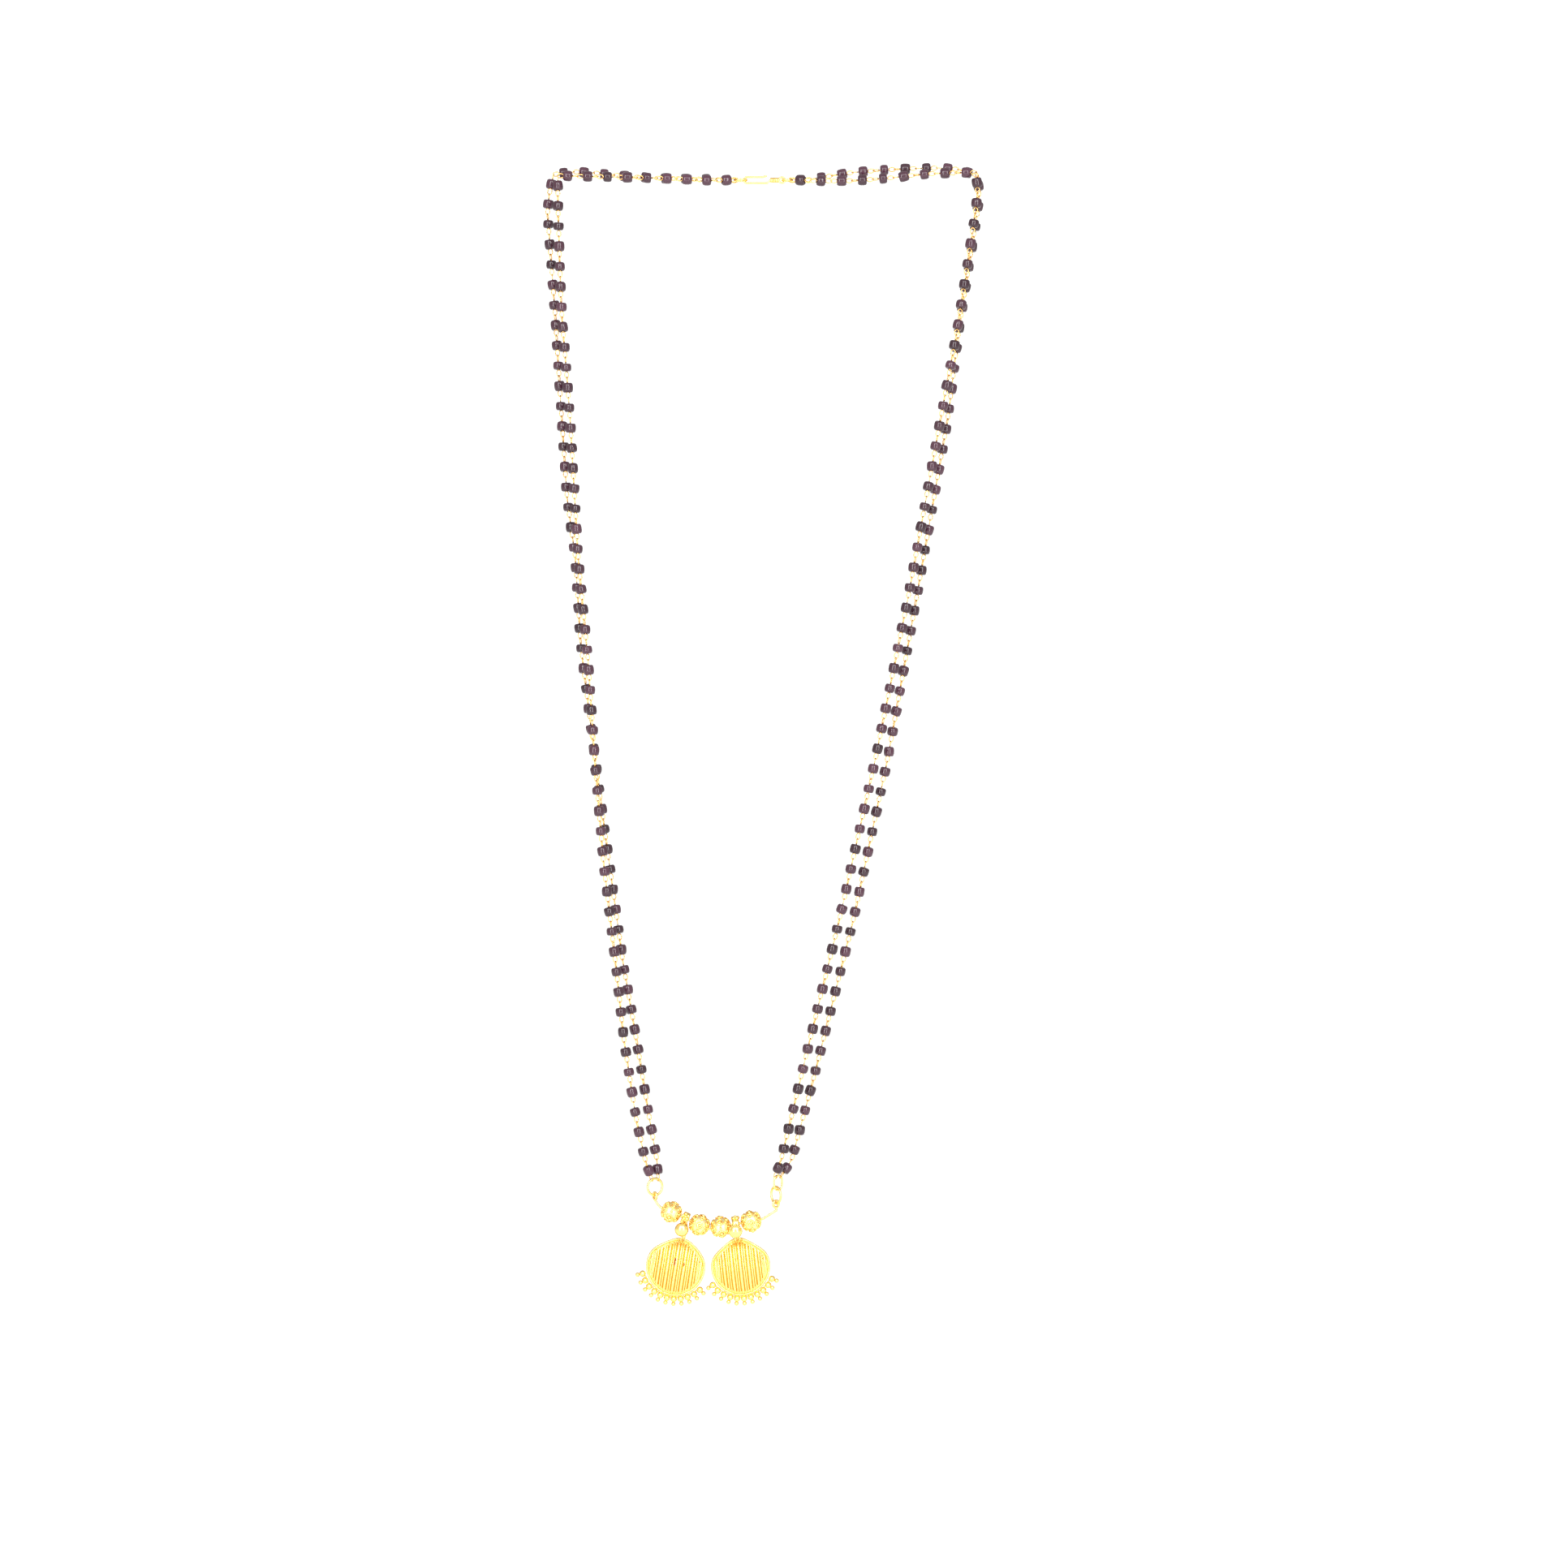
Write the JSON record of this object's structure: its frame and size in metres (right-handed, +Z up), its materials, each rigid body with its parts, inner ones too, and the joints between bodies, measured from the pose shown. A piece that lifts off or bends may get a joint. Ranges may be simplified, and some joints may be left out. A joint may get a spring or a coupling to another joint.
{
  "type": "mangalsutra necklace",
  "caption": "Long two-strand black bead mangalsutra on looped gold wires, with gold balls and two ribbed teardrop pendants, shown hanging.",
  "frame": {"origin": "the middle of the clasp, where the necklace lies on the nape", "axes": "+Z up along the hanging strands, -Y out of the front of the pendants, +X to the viewer's right"},
  "size_m": [0.1306, 0.0079, 0.3381],
  "materials": {
    "black_glass": "gloss",
    "gold": "polished"
  },
  "bodies": {
    "chain": {"beads_left_front": "black_glass", "beads_left_back": "black_glass", "beads_right_front": "black_glass", "beads_right_back": "black_glass", "wire_left_front": "gold", "wire_left_back": "gold", "wire_right_front": "gold", "wire_right_back": "gold", "ring_left": "gold", "link_right": "gold", "ring_right": "gold", "ring_catch": "gold", "ring_keep": "gold", "clasp_hook": "gold", "ball_1": "gold", "ball_2": "gold", "ball_3": "gold", "ball_4": "gold", "carry_wire": "gold"},
    "pendant_left": {"pendant_left": "gold"},
    "pendant_right": {"pendant_right": "gold"}
  },
  "joints": [
    {"name": "pendant_left_swing", "type": "hinge", "parent": "chain", "child": "pendant_left", "pos_m": [-0.0234, 0, -0.307], "axis": [1, 0, 0], "range_deg": [-30, 30]},
    {"name": "pendant_right_swing", "type": "hinge", "parent": "chain", "child": "pendant_right", "pos_m": [-0.00847, 0, -0.3087], "axis": [1, 0, 0], "range_deg": [-30, 30]}
  ]
}
